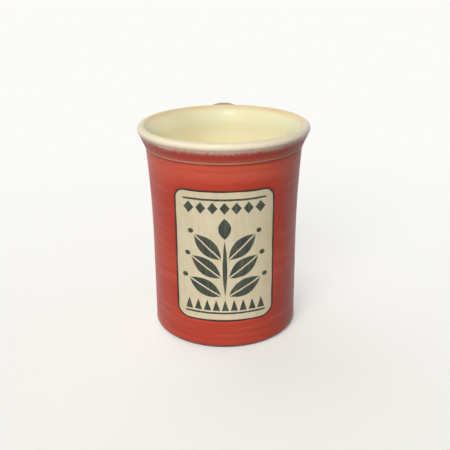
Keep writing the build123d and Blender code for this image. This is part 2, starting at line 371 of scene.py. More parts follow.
def on_front(x, z, skin):
    """Point in metres on the front of the cup, a skin over the bare wall, from millimetres across and up."""
    return Vector((x, -sqrt((wall_at(z) + skin) ** 2 - x ** 2), z)) * MM


def panel_gap(x, z, grow):
    """Distance from a point of the front to the panel's border, grown by a margin; below 0 inside it."""
    corner = (panel_upper_corner if z > panel_middle else panel_lower_corner) + grow
    across = abs(x) - (panel_width / 2 + grow - corner)
    up = abs(z - panel_middle) - ((panel_top - panel_bottom) / 2 + grow - corner)
    return hypot(max(across, 0), max(up, 0)) + min(max(across, up), 0) - corner


def cut_at_panel(piece, grow, keep_inside, edge_skin):
    """Cuts a sheet on the front of the cup along the panel's border, grown by a margin."""
    close_by = 2               # cut edges within this of the border are drawn onto it, in a few rounds
    rounds = 3
    nudge = 0.01
    sheet = bmesh.new()
    sheet.from_mesh(piece.data)
    gone = []
    for face in sheet.faces:
        middle = face.calc_center_median() / MM
        inside = middle.y < 0 and panel_gap(middle.x, middle.z, grow) < 0
        if inside != keep_inside:
            gone.append(face)
    bmesh.ops.delete(sheet, geom=gone, context="FACES")
    for corner in sheet.verts:
        x, _, z = corner.co / MM
        if corner.co.y > 0 or abs(panel_gap(x, z, grow)) > close_by or not corner.is_boundary:
            continue
        for _ in range(rounds):
            gap = panel_gap(x, z, grow)
            slope_x = (panel_gap(x + nudge, z, grow) - gap) / nudge
            slope_z = (panel_gap(x, z + nudge, grow) - gap) / nudge
            x -= gap * slope_x
            z -= gap * slope_z
        corner.co = on_front(x, z, edge_skin)
    sheet.to_mesh(piece.data)
    sheet.free()
    return piece


def thickened(piece, thickness):
    """The sheet given a thickness towards the cup's axis, as a closed shell."""
    outward = sum(face.normal.xy.dot(face.center.xy) for face in piece.data.polygons)
    if outward < 0:
        piece.data.flip_normals()
    coat = piece.modifiers.new("coat", "SOLIDIFY")
    coat.thickness = thickness * MM
    coat.offset = -1
    return settled(piece)


def drawn_out(tree, coords, across, along, detail, lean=0.0):
    """Noise drawn out upwards at a lean, from the millimetres of its marks across and along."""
    scale = (1 / (across * MM), 1 / (across * MM), 1 / (along * MM))
    marks = add(tree, "ShaderNodeMapping", {"Vector": coords, "Scale": scale, "Rotation": (0, lean, 0)})
    return add(tree, "ShaderNodeTexNoise", {"Vector": marks, "Scale": 1.0, "Detail": detail})


# Pale brushed slip under a thin clear film: eggshell, cream, with broad brush marks and warmer thin places.
pale_slip, tree, coords = new_material("brushed cream slip")
strokes = drawn_out(tree, coords, across=1.1, along=16, detail=3.0, lean=0.1)
thin = add(tree, "ShaderNodeTexNoise", {"Vector": coords, "Scale": 1 / (9 * MM), "Detail": 4.0})
cream = layered(tree, "#DFD1AF", (thin, 0.35, 0.7, 1, "#D5C6A2"), (strokes, 0.35, 0.75, 0.6, "#E6DBBE"))
end_material(tree, cream, roughness=0.5, relief=strokes, strength=0.3, depth=0.1)

sheet_x = np.arange(-sheet_reach, sheet_reach + sheet_cell / 2, sheet_cell)
sheet_z = np.arange(panel_bottom - sheet_margin, panel_top + sheet_margin, sheet_cell)
corners = [on_front(x, z, panel_slip) for z in sheet_z for x in sheet_x]
across = len(sheet_x)
cells = [
    (near, near + 1, near + across + 1, near + across)
    for row in range(len(sheet_z) - 1) for near in range(row * across, (row + 1) * across - 1)
]
ground = placed("panel_ground_slip", corners, cells)
ground.data.materials.append(pale_slip)
cut_at_panel(ground, ground_overlap, keep_inside=True, edge_skin=panel_slip)
thickened(ground, panel_slip)
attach(ground, "root")
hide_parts("panel_ground")

# Panel outline.
# A fine line of dark slip drawn round the panel with a pointed brush, swelling and thinning with the hand.
# Its outer edge runs under the red glaze.
line_height = 0.12
line_overlap = 0.15            # its edges run this far under the glaze and over the ground
line_swells = ((0.12, 7, 0), (0.08, 17, 1))  # share, waves round the border and start of each swelling
line_places = (-1.0, -0.7, -0.25, 0.25, 0.7, 1.0)
line_lifts = (-0.15, 0.75, 1.0, 1.0, 0.75, -0.15)

# Dark slip coloured with iron and a little chrome: greenish black, matt, streaked where the brush ran dry.
dark_slip, tree, coords = new_material("brushed dark slip")
bristles = drawn_out(tree, coords, across=0.9, along=11, detail=4.0, lean=0.08)
pool = add(tree, "ShaderNodeTexNoise", {"Vector": coords, "Scale": 1 / (4 * MM), "Detail": 3.0})
dark = layered(tree, "#262B26", (pool, 0, 1, 1, "#3C433A"), (bristles, 0.42, 0.72, 1, "#565C4E"))
end_material(tree, dark, roughness=0.55, relief=bristles, strength=0.35, depth=0.08)

# The same slip thinned to a brown wash where it meets the red glaze.
line_slip, tree, coords = new_material("brown line slip")
pool = add(tree, "ShaderNodeTexNoise", {"Vector": coords, "Scale": 1 / (3 * MM), "Detail": 3.0})
brown = layered(tree, "#24120A", (pool, 0, 1, 1, "#452415"))
shader = add(tree, "ShaderNodeBsdfPrincipled", {"Base Color": brown, "Roughness": 0.5, "IOR": 1.5})
add(tree, "ShaderNodeOutputMaterial", [shader])


def border_points(grow, step):
    """Points and outward directions all round the panel's border, grown by a margin."""
    half_x = panel_width / 2 + grow
    half_z = (panel_top - panel_bottom) / 2 + grow
    upper, lower = panel_upper_corner + grow, panel_lower_corner + grow
    corners = [(1, 1, upper), (-1, 1, upper), (-1, -1, lower), (1, -1, lower)]
    middles = [np.array((x * (half_x - corner), z * (half_z - corner))) for x, z, corner in corners]
    quarters = [
        arc(middle, corner, turn * pi / 2, (turn + 1) * pi / 2, step)
        for turn, (middle, (_, _, corner)) in enumerate(zip(middles, corners))
    ]
    found = []
    for turn, quarter in enumerate(quarters):
        found += [(spot, (spot - middles[turn]) / corners[turn][2]) for spot in quarter]
        run = line(quarter[-1], quarters[(turn + 1) % len(quarters)][0], step)
        found += [(spot, found[-1][1]) for spot in run[1:-1]]
    return found


border = border_points(panel_line / 2, step=0.6)
around = len(line_places)
line_corners = []
line_faces = []
for at, (spot, side) in enumerate(border):
    after = (at + 1) % len(border)
    sway = at / len(border) * 2 * pi
    swell = 1 + sum(share * sin(waves * sway + start) for share, waves, start in line_swells)
    for k, (place, lift) in enumerate(zip(line_places, line_lifts)):
        x, z = spot + side * place * (panel_line / 2 + line_overlap) * swell
        line_corners.append(on_front(x, z + panel_middle, panel_slip + line_height * lift))
        near = (k + 1) % around
        line_faces.append((at * around + k, at * around + near, after * around + near, after * around + k))
outline = placed("panel_outline_slip", line_corners, line_faces)
outline.data.materials.append(line_slip)
outwards(outline)
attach(outline, "root")
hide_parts("panel_outline")

# Painted sprig and bands.
# Brush strokes of dark slip on the panel: a stem with its bud, three pairs of split leaves, a berry beyond
# each leaf, a row of lozenges at the head and a row of teeth at the foot, each under or over a ruled line.
stroke_height = 0.12
band_margin = 3.2
rule_width = 1.0
band_gap = 0.8
band_height = 5.8
lozenge_count = 7
tooth_count = 9
sprig_margin = 2.0
stem_width = 2.2
stem_gap = 0.7
leaf_pairs = 3
leaf_length = 17.5
leaf_width = 8.0
leaf_vein = 0.7
leaf_angle = radians(30)
leaf_angle_step = radians(7)
bud_length = 10.5
bud_width = 6.0
berry_radius = 1.2
berry_gap = 1.0
lower_band = panel_bottom + band_margin
upper_band = panel_top - band_margin
band_length = panel_width - 2 * band_margin
stem_foot = lower_band + rule_width + band_gap + band_height + sprig_margin
bud_tip = upper_band - rule_width - band_gap - band_height - sprig_margin
stem_head = bud_tip - bud_length - stem_gap
leaf_pitch = (stem_head - stem_foot) / leaf_pairs
stroke_steps = 29              # corners along a stroke, and across half of it
half_steps = 6
stroke_sink = 0.4              # share of the slip's height that lies below the face of the ground
side_roundness = 4.0
tip_roundness = 8.0
hand_sway = 0.5
hand_sway_length = 4.0
hand_sway_seed = 4.0

# How a stroke's half width runs from root to tip: (1 - |2u - 1|^a)^b, given as a, b and where u starts.
POINTED = (2.0, 1.0, 0.0)
ROUND = (2.0, 0.5, 0.0)
LOZENGE = (1.0, 1.0, 0.0)
TOOTH = (1.0, 1.0, 0.5)
RULED = (60.0, 0.5, 0.0)
UPRIGHT = pi / 2

# Geometry Nodes tree: lays a flat brush stroke on every point, with X across, Z up and Y the slip's height.
# Each point carries its stroke's root and turn, its form, and its size: length, width and the vein that is
# left bare along its middle.
painting, size_in = new_tree("brush strokes", {
    "Slip height": "NodeSocketFloat",
    "Sway": "NodeSocketFloat",
    "Sway length": "NodeSocketFloat",
})
stroke = add(painting, "GeometryNodeJoinGeometry")
for side, rise in ((1, 1), (1, -stroke_sink), (-1, 1), (-1, -stroke_sink)):
    half = add(painting, "GeometryNodeMeshGrid", {"Vertices X": stroke_steps, "Vertices Y": half_steps})
    cell = add(painting, "GeometryNodeInputPosition")
    cell = add(painting, "ShaderNodeVectorMath", [cell, (0.5, 0.5, 0)], operation="ADD")
    for name, value in {"cell": cell, "face": (side, rise, 0)}.items():
        half = add(painting, "GeometryNodeStoreNamedAttribute", {
            "Geometry": half, "Name": name, "Value": value,
        }, data_type="FLOAT_VECTOR")
    painting.links.new(half.outputs[0], stroke.inputs[0])
strokes = add(painting, "GeometryNodeInstanceOnPoints", {"Points": size_in["Geometry"], "Instance": stroke})
strokes = add(painting, "GeometryNodeRealizeInstances", {"Geometry": strokes})
told = {
    name: add(painting, "ShaderNodeSeparateXYZ", [
        add(painting, "GeometryNodeInputNamedAttribute", {"Name": name}, data_type="FLOAT_VECTOR"),
    ]).outputs
    for name in ("cell", "face", "root", "size", "form")
}


def bowed(share, power):
    """1 halfway along a share from 0 to 1, falling to 0 at both its ends."""
    bow = add(painting, "ShaderNodeMath", [share, 2.0, -1.0], operation="MULTIPLY_ADD")
    bow = add(painting, "ShaderNodeMath", [bow], operation="ABSOLUTE")
    bow = add(painting, "ShaderNodeMath", [bow, power], operation="POWER")
    return add(painting, "ShaderNodeMath", [1.0, bow], operation="SUBTRACT", use_clamp=True)


# u runs from the root to the tip, closer together at both ends.
half_turn = add(painting, "ShaderNodeMath", [told["cell"][0], pi], operation="MULTIPLY")
half_turn = add(painting, "ShaderNodeMath", [half_turn], operation="COSINE")
u = add(painting, "ShaderNodeMath", [half_turn, -0.5, 0.5], operation="MULTIPLY_ADD")

# The stroke's half width at u, from its form, and the vein that is left bare along its middle.
swell = add(painting, "ShaderNodeMapRange", [u, 0.0, 1.0, told["form"][2], 1.0])
swell = bowed(swell, told["form"][0])
swell = add(painting, "ShaderNodeMath", [swell, told["form"][1]], operation="POWER")
half_width = add(painting, "ShaderNodeMath", [told["size"][1], swell], operation="MULTIPLY")
half_width = add(painting, "ShaderNodeMath", [half_width, 0.5], operation="MULTIPLY")
half_vein = add(painting, "ShaderNodeMath", [told["size"][2], half_width], operation="MINIMUM")
half_vein = add(painting, "ShaderNodeMath", [half_vein, 0.5], operation="MULTIPLY")
breadth = add(painting, "ShaderNodeMath", [half_width, half_vein], operation="SUBTRACT")
aside = add(painting, "ShaderNodeMath", [told["cell"][1], breadth, half_vein], operation="MULTIPLY_ADD")
aside = add(painting, "ShaderNodeMath", [aside, told["face"][0]], operation="MULTIPLY")

# Its place on the panel, turned about the root, with the sway of a hand.
along = add(painting, "ShaderNodeMath", [u, told["size"][0]], operation="MULTIPLY")
spot = add(painting, "ShaderNodeCombineXYZ", [along, 0.0, aside])
spot = add(painting, "ShaderNodeVectorRotate", {
    "Vector": spot, "Axis": (0, -1, 0), "Angle": told["root"][1],
}, rotation_type="AXIS_ANGLE")
root = add(painting, "ShaderNodeCombineXYZ", [told["root"][0], 0.0, told["root"][2]])
spot = add(painting, "ShaderNodeVectorMath", [spot, root], operation="ADD")
sway = add(painting, "ShaderNodeTexNoise", {
    "Vector": spot,
    "W": hand_sway_seed,
    "Scale": add(painting, "ShaderNodeMath", [1.0, size_in["Sway length"]], operation="DIVIDE"),
    "Detail": 1.0,
}, noise_dimensions="4D").outputs["Color"]
sway = add(painting, "ShaderNodeVectorMath", [sway, (1, 0, 1), (-0.5, 0, -0.5)], operation="MULTIPLY_ADD")
sway = add(painting, "ShaderNodeVectorMath", {0: sway, "Scale": size_in["Sway"]}, operation="SCALE")
spot = add(painting, "ShaderNodeVectorMath", [spot, sway], operation="ADD")

# The height of the slip: domed over each brush mark, which a vein halves, and thin at its ends.
split = add(painting, "ShaderNodeMath", [told["size"][2], 0.0], operation="GREATER_THAN")
mark = add(painting, "ShaderNodeMath", [told["cell"][1], 0.5, 0.5], operation="MULTIPLY_ADD")
mark = add(painting, "ShaderNodeMix", {0: split, 2: mark, 3: told["cell"][1]})
edge = bowed(mark, side_roundness)
tip = bowed(u, tip_roundness)
dome = add(painting, "ShaderNodeMath", [edge, tip], operation="MULTIPLY", use_clamp=True)
dome = add(painting, "ShaderNodeMath", [dome], operation="SQRT")
lift = add(painting, "ShaderNodeMath", [dome, told["face"][1]], operation="MULTIPLY")
lift = add(painting, "ShaderNodeMath", [lift, size_in["Slip height"]], operation="MULTIPLY")
lift = add(painting, "ShaderNodeCombineXYZ", [0.0, lift, 0.0])
strokes = add(painting, "GeometryNodeSetPosition", {"Geometry": strokes, "Position": spot, "Offset": lift})
end_tree(painting, size_in, strokes, merge=0.005)


def tell(mesh, label, vectors):
    """Gives every point of a mesh a vector under a name."""
    mesh.attributes.new(label, "FLOAT_VECTOR", "POINT").data.foreach_set("vector", np.ravel(vectors))


def painted(name, node, strokes):
    """A piece of brush strokes on the panel, each a root, a turn, a form and a size in millimetres."""
    piece = placed(name, [(x * MM, 0, z * MM) for (x, z), *_ in strokes])
    tell(piece.data, "root", [(x * MM, turn, z * MM) for (x, z), turn, _, _ in strokes])
    tell(piece.data, "form", [form for _, _, form, _ in strokes])
    tell(piece.data, "size", [np.multiply(size, MM) for *_, size in strokes])
    grown(piece, painting, {
        "Slip height": stroke_height * MM,
        "Sway": hand_sway * MM,
        "Sway length": hand_sway_length * MM,
        "Material": dark_slip,
    })
    for corner in piece.data.vertices:
        x, lift, z = corner.co / MM
        corner.co = on_front(x, z, panel_slip + lift)
    outwards(piece)
    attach(piece, "root")
    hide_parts(node)


painted("sprig_stem_strokes", "sprig_stem", [
    ((0, stem_foot), UPRIGHT, POINTED, (stem_head - stem_foot, stem_width, 0)),
    ((0, stem_head + stem_gap), UPRIGHT, POINTED, (bud_length, bud_width, 0)),
])
leaves = []
berries = []
for pair in range(leaf_pairs):
    for side in (1, -1):
        lean = leaf_angle + pair * leaf_angle_step
        lean = lean if side > 0 else pi - lean
        root = np.array((side * (stem_width / 2 + stem_gap), stem_foot + pair * leaf_pitch))
        leaves.append((root, lean, POINTED, (leaf_length, leaf_width, leaf_vein)))
        near = root + (leaf_length + berry_gap) * np.array((cos(lean), sin(lean)))
        berries.append((near, lean, ROUND, (2 * berry_radius, 2 * berry_radius, 0)))
painted("sprig_leaf_strokes", "sprig_leaves", leaves)
painted("sprig_berry_strokes", "sprig_berries", berries)
lozenge_pitch = band_length / lozenge_count
lozenge_middle = upper_band - rule_width - band_gap - band_height / 2
rule_start = -band_length / 2
head_band = [((rule_start, upper_band - rule_width / 2), 0, RULED, (band_length, rule_width, 0))]
for place in range(lozenge_count):
    start = rule_start + place * lozenge_pitch + band_gap / 2
    head_band.append(((start, lozenge_middle), 0, LOZENGE, (lozenge_pitch - band_gap, band_height, 0)))
painted("lozenge_band_strokes", "lozenge_band", head_band)
tooth_pitch = band_length / tooth_count
tooth_base = lower_band + rule_width + band_gap
foot_band = [((rule_start, lower_band + rule_width / 2), 0, RULED, (band_length, rule_width, 0))]
for place in range(tooth_count):
    middle = rule_start + (place + 0.5) * tooth_pitch
    foot_band.append(((middle, tooth_base), UPRIGHT, TOOTH, (band_height, tooth_pitch - band_gap, 0)))
painted("tooth_band_strokes", "tooth_band", foot_band)

# Liner glaze.
# Cream glaze poured in, swilled round and poured out, then wiped over the lip.
# It coats the whole inside and turns over the lip onto the outside of the collar.
liner_edge = 101.2
liner_clearance = 0.005        # the turned coat lies this far inside the solid's
liner_skin = glaze_thickness - liner_clearance
blush_pink = "#D8806A"         # of the blush between the two glazes


def meeting(tree, coords, limit, operation):
    """How much cream shows where the glazes run into each other in fine streaks below the lip."""
    x, _, edge = add(tree, "ShaderNodeSeparateXYZ", [coords]).outputs
    streaks = drawn_out(tree, coords, across=0.9, along=7, detail=2.0)
    wave = add(tree, "ShaderNodeTexNoise", {"Vector": coords, "Scale": 1 / (9 * MM), "Detail": 2.0})
    aside = add(tree, "ShaderNodeMath", [x], operation="ABSOLUTE")
    aside = add(tree, "ShaderNodeMapRange", [aside, 24 * MM, 41 * MM], interpolation_type="SMOOTHSTEP")
    # Streaks and waves draw the cream down by these millimetres, and at the sides it stays higher.
    for shift, drop in ((streaks, 2.2), (wave, 1.4), (aside, -0.9)):
        edge = add(tree, "ShaderNodeMath", [shift, drop * MM, edge], operation="MULTIPLY_ADD")
    # The heights where the cream, and a film of it that reaches lower, start and are full, and their shares.
    cream, film = (
        add(tree, "ShaderNodeMapRange", [
            edge, low * MM, high * MM, 0.0, share,
        ], interpolation_type="SMOOTHSTEP")
        for low, high, share in ((100.0, 105.0, 1.0), (99.6, 102.8, 0.2))
    )
    shown = add(tree, "ShaderNodeMath", [cream, film], operation="MAXIMUM")
    return add(tree, "ShaderNodeMath", [shown, limit], operation=operation)


# Cream stoneware glaze, glassy over the clay: soft gloss, with painted shade near the top and painted light,
# warmer and yellower, deep in the cup.
cream_glaze, tree, coords = new_material("cream liner glaze")
height = add(tree, "ShaderNodeSeparateXYZ", [coords]).outputs[2]
radial = add(tree, "ShaderNodeVectorMath", [coords, (1, 1, 0)], operation="MULTIPLY")
radial = add(tree, "ShaderNodeVectorMath", [radial], operation="LENGTH")
cloud = add(tree, "ShaderNodeTexNoise", {"Vector": coords, "Scale": 1 / (16 * MM), "Detail": 4.0})
deep = add(tree, "ShaderNodeMapRange", [height, 98 * MM, 72 * MM])
deep = add(tree, "ShaderNodeMath", [cloud, 0.5, deep], operation="MULTIPLY_ADD")
runs = drawn_out(tree, coords, across=5, along=30, detail=3.0)
thin = add(tree, "ShaderNodeMapRange", [radial, 36.6 * MM, 38.4 * MM])
outer = add(tree, "ShaderNodeMapRange", [radial, 38.4 * MM, 39.6 * MM, 1.0, 0.0])
thin = add(tree, "ShaderNodeMath", [thin, outer], operation="MULTIPLY")
thin = add(tree, "ShaderNodeMath", [thin, cloud], operation="MULTIPLY")
cream = layered(
    # The plain cream near the top is painted darker, as shade against the light that falls there.
    tree, "#D3CFAB",
    (deep, 0.15, 1.25, 1, "#F0E3B8"),                  # painted light deep inside, warm and yellow
    (runs, 0.48, 0.75, 0.35, "#E6CE9C"),               # runs down the wall
    (radial, 38.0 * MM, 39.4 * MM, 1, "#D3CBA7"),      # greyer and darker on the lip: painted shade against the light on its top
    (radial, 40.8 * MM, 41.9 * MM, 1, "#F0E2C8"),      # painted lighter on its outer side, against the shade under the lip
    (thin, 0, 1, 1, "#D3A866"),                        # thin and brown on its inner side
)
inside = add(tree, "ShaderNodeMath", [radial, lip_centre[0] * MM], operation="LESS_THAN")
shown = meeting(tree, coords, inside, "MAXIMUM")
cream = layered(tree, "#B23C2C", (shown, 0, 0.6, 1, blush_pink), (shown, 0.15, 1, 1, cream))
pits = add(tree, "ShaderNodeTexNoise", {"Vector": coords, "Scale": 1 / (6 * MM), "Detail": 2.0})
end_material(tree, cream, roughness=0.24, relief=pits, strength=0.25, depth=0.15)


def at_liner_edge(section):
    """The point of an outside section at the height of the liner's edge."""
    return np.array([[np.interp(-liner_edge, -section[:, 1], section[:, 0]), liner_edge]])


coat = outside(liner_skin, step=0.4, stop=0)
under = outside(0, step=0.8, stop=0)
liner_section = np.concatenate([
    inside_and_lip(liner_skin, step=0.8),
    coat[coat[:, 1] > liner_edge],
    at_liner_edge(coat),
    at_liner_edge(under),
    under[under[:, 1] > liner_edge][::-1],
    inside_and_lip(0, step=1.6)[::-1],
])
liner = turned(
    "liner_glaze_coat", liner_section, steps=240, ring_height=0.02, ring_pitch=4.0, material=cream_glaze,
)
outwards(liner)
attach(liner, "root")
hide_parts("liner_glaze")

# Outer glaze.
# Iron-red glaze over the outside, from the liner's edge to the foot corner, wiped back round the panel.
# It breaks pale over the ridge under a painted highlight, pools dark under it in a painted shadow, and
# streaks into the cream where the two glazes meet.
glaze_stop = radians(-50)
bead_height = 2.3              # the roll of glaze that stopped just above the foot
bead_reach = 1.6
bead_swell = 0.18
glaze_lift = 0.02              # the edge stands this far over the panel's ground
glaze_clearance = 0.05         # and the coat stays this far off the clay
halo = 8.0                     # the glaze lies thick and red this far round the panel
halo_share = 0.8

# Iron-red stoneware glaze, fired in oxidation: soft gloss, mottled brick red over the throwing rings.
# Each point's place says whether it is on the cup, how near the panel it is and how near the top of the
# strap's crest it is.
red_glaze, tree, coords = new_material("iron-red glaze")
place = add(tree, "ShaderNodeAttribute", attribute_name="place").outputs["Vector"]
on_cup, near_panel, crest_grey = add(tree, "ShaderNodeSeparateXYZ", [place]).outputs
height = add(tree, "ShaderNodeSeparateXYZ", [coords]).outputs[2]
height = add(tree, "ShaderNodeMix", {0: on_cup, 2: straight_height * MM, 3: height})
over_ridge = add(tree, "ShaderNodeMath", [height, ridge_height * MM], operation="SUBTRACT")
mottle, freckle, peel = (
    add(tree, "ShaderNodeTexNoise", {"Vector": coords, "Scale": 1 / (size * MM), "Detail": detail})
    for size, detail in ((12, 5.0), (1.3, 2.0), (2.5, 3.0))
)
bands = drawn_out(tree, coords, across=40, along=2.2, detail=3.0)
ragged = add(tree, "ShaderNodeMath", [bands, 2.0 * MM, over_ridge], operation="MULTIPLY_ADD")
high = add(tree, "ShaderNodeMapRange", [height, 76 * MM, 90 * MM], interpolation_type="SMOOTHSTEP")
low = add(tree, "ShaderNodeMapRange", [height, 40 * MM, 8 * MM], interpolation_type="SMOOTHSTEP")
shown = meeting(tree, coords, on_cup, "MULTIPLY")
red = layered(
    tree, "#B93B2A",
    (mottle, 0.3, 0.7, 1, "#C44A37"),                  # mottling
    (high, 0, 1, 0.7, "#D6604A"),                      # paler towards the ridge: painted light from above
    (low, 0, 1, 0.5, "#AE4030"),                       # browner towards the foot, and darker there as painted shade
    (bands, 0.5, 0.72, 0.36, "#DA6650"),               # throwing rings, light and dark
    (bands, 0.48, 0.3, 0.36, "#A83526"),
    (freckle, 0.6, 0.75, 0.35, "#9A2E21"),             # iron freckles
    (near_panel, 0, 1, 1, "#BA3626"),                  # thick round the panel
    (height, 2.1 * MM, 0.9 * MM, 0.9, "#5E241C"),      # painted contact shade at the foot
    (over_ridge, -1.7 * MM, -0.7 * MM, 0.75, "#8E2E20"),  # pooled glaze and a painted shadow under the ridge
    (over_ridge, -0.5 * MM, -0.25 * MM, 1, "#E8A48D"),  # broken pale glaze and a painted highlight over it
    (over_ridge, 0.2 * MM, 0.6 * MM, 1, "#D0634E"),    # collar, painted lighter against the shade under the lip
    (ragged, 1.6 * MM, 3.6 * MM, 1, "#BE4635"),        # its redder upper part, also painted lighter against that shade
    (crest_grey, 0, 1, 1, "#8C7A62"),                    # grey-brown along the handle's crest
    (shown, 0, 0.6, 1, blush_pink),                    # blush, and cream below the lip painted lighter against the shade there
    (shown, 0.15, 1, 1, "#FFF2DF"),
)
sheen = add(tree, "ShaderNodeMapRange", [mottle, 0.3, 0.7, 0.36, 0.46])
wet = add(tree, "ShaderNodeMapRange", [height, 3.2 * MM, 4.6 * MM, 0.55, 1.0])
sheen = add(tree, "ShaderNodeMath", [sheen, wet], operation="MULTIPLY")
end_material(tree, red, roughness=sheen, relief=peel, strength=0.25, depth=0.1, ior=1.36)

coat = outside(glaze_thickness, step=0.62, stop=glaze_stop)
coat = np.concatenate([at_liner_edge(coat), coat[coat[:, 1] < liner_edge]])
roll = np.clip(1 - ((coat[:, 1] - bead_height) / bead_reach) ** 2, 0, None) ** 2
coat[:, 0] += bead_swell * roll
glaze = turned("outer_glaze_coat", coat, steps=300, ring_height=0.022, ring_pitch=3.1, material=red_glaze)
outwards(glaze)
cut_at_panel(glaze, panel_line, keep_inside=False, edge_skin=panel_slip + glaze_lift)
thickened(glaze, glaze_thickness - glaze_clearance)
places = []
for corner in glaze.data.vertices:
    x, y, z = corner.co / MM
    near = halo_share * max(1 - panel_gap(x, z, 0) / halo, 0) if y < 0 and z > panel_middle else 0
    places.append((1, near, 0))
tell(glaze.data, "place", places)
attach(glaze, "root")
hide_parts("outer_glaze")

# Handle glaze.
# The strap under the same red glaze, oval in section and tapering downwards, thumbed onto the wall
# at both ends so that it runs into the cup in a soft hollow.
handle_width = 18.0
handle_depth = 8.8
handle_taper = 0.84
handle_reach = 33.5
upper_slope = 0.6
lower_slope = 0.35
upper_height = 90.4
lower_height = 30.0
upper_pull = 24.0
lower_pull = 20.0
shoulder_pull = 28.0
tail_pull = 18.0
knuckle_drop = 18.0
joint_bury = wall_thickness / 2
thumbed = 2.4                  # radius of the hollow where the strap runs into the wall
root_swell = 1.7               # the strap's ends are pressed thicker by this on each side
level = 9.0                    # its sections turn upright over this length at its ends
least_turn = 0.5               # least cosine of that turn that its thickness makes up for
facing_out = 0.2               # corners whose normals lie this close to straight out aren't drawn sideways
crest_grey_reach = 5.0                  # the strap's crest is grey-brown this far down from its top
path_steps = 90
path_crowding = 1.4            # the path's points crowd together towards its ends
strap_steps = 56

# Geometry Nodes tree: sweeps an oval along a path of points that carry its outward direction and half sizes.
pulling, size_in = new_tree("pulled strap", {"Turn steps": "NodeSocketInt"})
sheet, turn, row = wrapped_sheet(pulling, size_in)
angle = add(pulling, "ShaderNodeMath", [turn, 2 * pi], operation="MULTIPLY")
told = {"middle": add(pulling, "GeometryNodeInputPosition")}
for name in ("out", "half"):
    told[name] = add(pulling, "GeometryNodeInputNamedAttribute", {"Name": name}, data_type="FLOAT_VECTOR")
for name, field in told.items():
    told[name] = add(pulling, "GeometryNodeSampleIndex", {
        "Geometry": size_in["Geometry"], "Value": field, "Index": row,
    }, data_type="FLOAT_VECTOR")
spoke = add(pulling, "ShaderNodeVectorRotate", {"Vector": (1, 0, 0), "Angle": angle}, rotation_type="Z_AXIS")
spoke = add(pulling, "ShaderNodeVectorMath", [spoke, told["half"]], operation="MULTIPLY")
aside, rise, _ = add(pulling, "ShaderNodeSeparateXYZ", [spoke]).outputs
aside = add(pulling, "ShaderNodeCombineXYZ", [aside])
spot = add(pulling, "ShaderNodeVectorMath", {0: told["out"], "Scale": rise}, operation="SCALE")
spot = add(pulling, "ShaderNodeVectorMath", [spot, told["middle"]], operation="ADD")
spot = add(pulling, "ShaderNodeVectorMath", [spot, aside], operation="ADD")
strap = add(pulling, "GeometryNodeSetPosition", {"Geometry": sheet, "Position": spot})
end_tree(pulling, size_in, strap, merge=0.01)


def bezier(points, steps):
    """Points and directions along a cubic curve in the YZ plane."""
    a, b, c, d = np.array(points, float)
    t = steps[:, None]
    spots = (1 - t) ** 3 * a + 3 * (1 - t) ** 2 * t * b + 3 * (1 - t) * t ** 2 * c + t ** 3 * d
    heads = 3 * (1 - t) ** 2 * (b - a) + 6 * (1 - t) * t * (c - b) + 3 * t ** 2 * (d - c)
    return spots, heads / np.hypot(*heads.T)[:, None]


upper_end = np.array((wall_at(upper_height) - joint_bury, upper_height - joint_bury * upper_slope))
lower_end = np.array((wall_at(lower_height) - joint_bury, lower_height - joint_bury * lower_slope))
knuckle = np.array((wall_radius + handle_reach, upper_height - knuckle_drop))
dense = np.linspace(0, 1, path_steps)
over_spots, over_heads = bezier(
    [upper_end, upper_end + upper_pull * np.array((1, upper_slope)), knuckle + (0, shoulder_pull), knuckle],
    dense ** path_crowding,
)
under_spots, under_heads = bezier(
    [knuckle, knuckle - (0, tail_pull), lower_end + lower_pull * np.array((1, lower_slope)), lower_end],
    1 - (1 - dense) ** path_crowding,
)
spots = np.concatenate([over_spots, under_spots[1:]])
heads = np.concatenate([over_heads, under_heads[1:]])
travel = np.concatenate([[0], np.cumsum(np.hypot(*np.diff(spots, axis=0).T))])
travel /= travel[-1]
taper = 1 - (1 - handle_taper) * travel
clear = np.minimum(np.hypot(*(spots - upper_end).T), np.hypot(*(spots - lower_end).T))
upright = np.clip(1 - clear / level, 0, 1)[:, None]
straight_out = np.where(travel[:, None] < 0.5, (1.0, 0.0), (-1.0, 0.0))
turned_heads = heads * (1 - upright) + straight_out * upright
turned_heads /= np.hypot(*turned_heads.T)[:, None]
skew = 1 / np.clip(np.sum(heads * turned_heads, axis=1), least_turn, 1)
no_offset = np.zeros_like(taper)
half_sizes = np.stack([
    handle_width / 2 * taper + glaze_thickness,
    handle_depth / 2 * taper * skew + glaze_thickness + root_swell * upright[:, 0],
    no_offset,
], axis=1) * MM
ups = np.stack([no_offset, -turned_heads[:, 1], turned_heads[:, 0]], axis=1)
middles = np.stack([no_offset, *spots.T], axis=1) * MM
middles = np.concatenate([middles[:1], middles, middles[-1:]])
ups = np.concatenate([ups[:1], ups, ups[-1:]])
half_sizes = np.concatenate([0 * half_sizes[:1], half_sizes, 0 * half_sizes[-1:]])
handle = placed("handle_glaze_coat", middles.tolist())
tell(handle.data, "out", ups)
tell(handle.data, "half", half_sizes)
outwards(grown(handle, pulling, {"Turn steps": strap_steps, "Material": red_glaze}))
skin_line = outside(glaze_thickness, step=0.5, stop=glaze_stop)[::-1]
normals = [corner.normal.copy() for corner in handle.data.vertices]
for corner, normal in zip(handle.data.vertices, normals):
    x, y, z = corner.co / MM
    clear = hypot(x, y) - np.interp(z, skin_line[:, 1], skin_line[:, 0])
    if clear > thumbed:
        continue
    away = Vector((x, y, 0)).normalized()
    sideways = normal - away * normal.dot(away)
    if sideways.length < facing_out:
        continue
    short = thumbed - max(clear, 0)
    corner.co += sideways.normalized() * (thumbed - sqrt(thumbed ** 2 - short ** 2)) * MM
handle.data.update()
top = max(corner.co.z for corner in handle.data.vertices)
tell(handle.data, "place", [
    (0, 0, max(1 - (top - corner.co.z) / (crest_grey_reach * MM), 0)) for corner in handle.data.vertices
])
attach(handle, "root")
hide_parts("handle_glaze")

